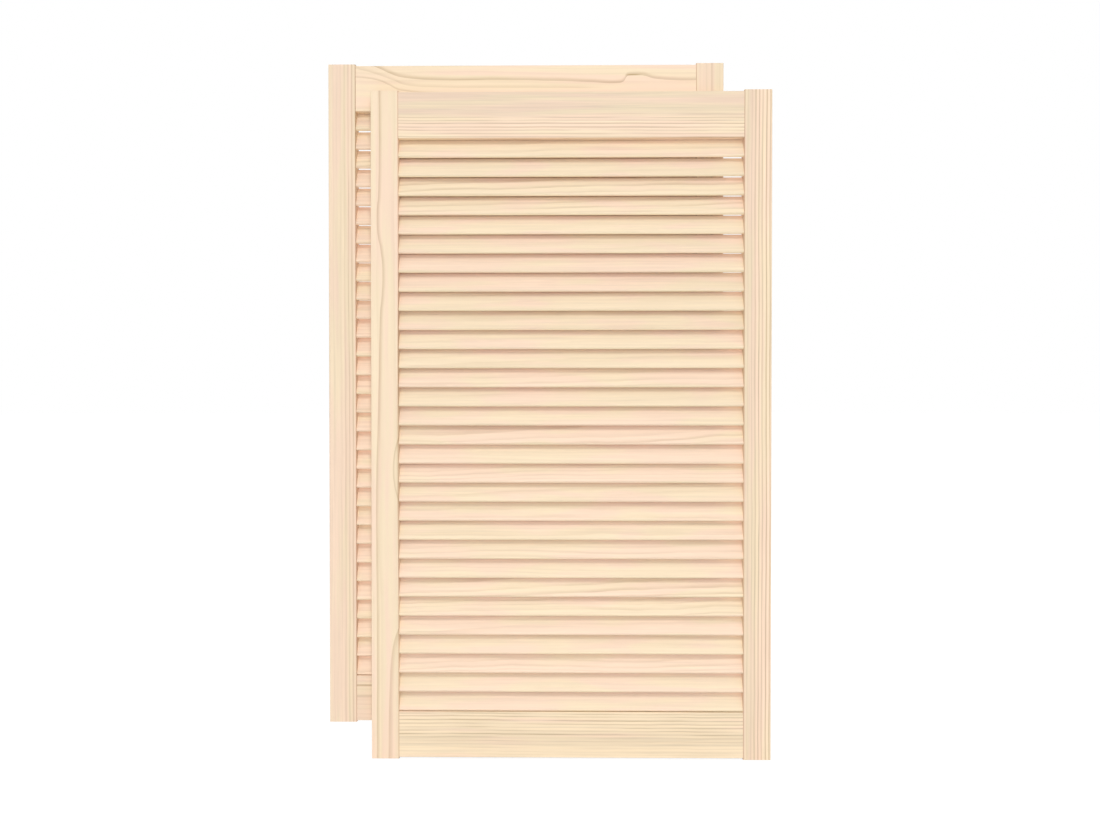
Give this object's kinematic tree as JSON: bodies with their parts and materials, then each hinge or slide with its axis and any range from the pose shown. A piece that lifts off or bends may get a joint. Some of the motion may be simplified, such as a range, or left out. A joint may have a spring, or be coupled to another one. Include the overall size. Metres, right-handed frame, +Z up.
{
  "type": "pair of louvred cabinet doors",
  "caption": "Pair of bare pine louvred cabinet doors: stile and rail frames with fixed slanted slats, one door close behind the other.",
  "frame": {"origin": "on the base plane under the middle of the pair's box; the front door's foot is on that plane", "axes": "+Z up along the stiles, +Y from the fronts of the doors to their backs, +X to the right as seen from the front"},
  "size_m": [0.662, 0.0414, 1.04],
  "materials": {
    "stile_wood": "bare planed pine, grain along the height, matt",
    "rail_wood": "bare planed pine, grain along the width, matt",
    "slat_wood": "bare planed pine, pale, grain along the slat, matt"
  },
  "bodies": {
    "root": {"back_bottom_rail": "rail_wood", "back_left_stile": "stile_wood", "back_right_stile": "stile_wood", "back_slats_01_02": "slat_wood", "back_slats_03_04": "slat_wood", "back_slats_05_06": "slat_wood", "back_slats_07_08": "slat_wood", "back_slats_09_10": "slat_wood", "back_slats_11_12": "slat_wood", "back_slats_13_14": "slat_wood", "back_slats_15_16": "slat_wood", "back_slats_17_18": "slat_wood", "back_slats_19_20": "slat_wood", "back_slats_21_22": "slat_wood", "back_slats_23_24": "slat_wood", "back_slats_25_26": "slat_wood", "back_slats_27_28": "slat_wood", "back_slats_29_30": "slat_wood", "back_top_rail": "rail_wood", "front_bottom_rail": "rail_wood", "front_left_stile": "stile_wood", "front_right_stile": "stile_wood", "front_slat_01": "slat_wood", "front_slat_02": "slat_wood", "front_slat_03": "slat_wood", "front_slat_04": "slat_wood", "front_slat_05": "slat_wood", "front_slat_06": "slat_wood", "front_slat_07": "slat_wood", "front_slat_08": "slat_wood", "front_slat_09": "slat_wood", "front_slat_10": "slat_wood", "front_slat_11": "slat_wood", "front_slat_12": "slat_wood", "front_slat_13": "slat_wood", "front_slat_14": "slat_wood", "front_slat_15": "slat_wood", "front_slat_16": "slat_wood", "front_slat_17": "slat_wood", "front_slat_18": "slat_wood", "front_slat_19": "slat_wood", "front_slat_20": "slat_wood", "front_slat_21": "slat_wood", "front_slat_22": "slat_wood", "front_slat_23": "slat_wood", "front_slat_24": "slat_wood", "front_slat_25": "slat_wood", "front_slat_26": "slat_wood", "front_slat_27": "slat_wood", "front_slat_28": "slat_wood", "front_slat_29": "slat_wood", "front_slat_30": "slat_wood", "front_top_rail": "rail_wood"}
  },
  "joints": []
}
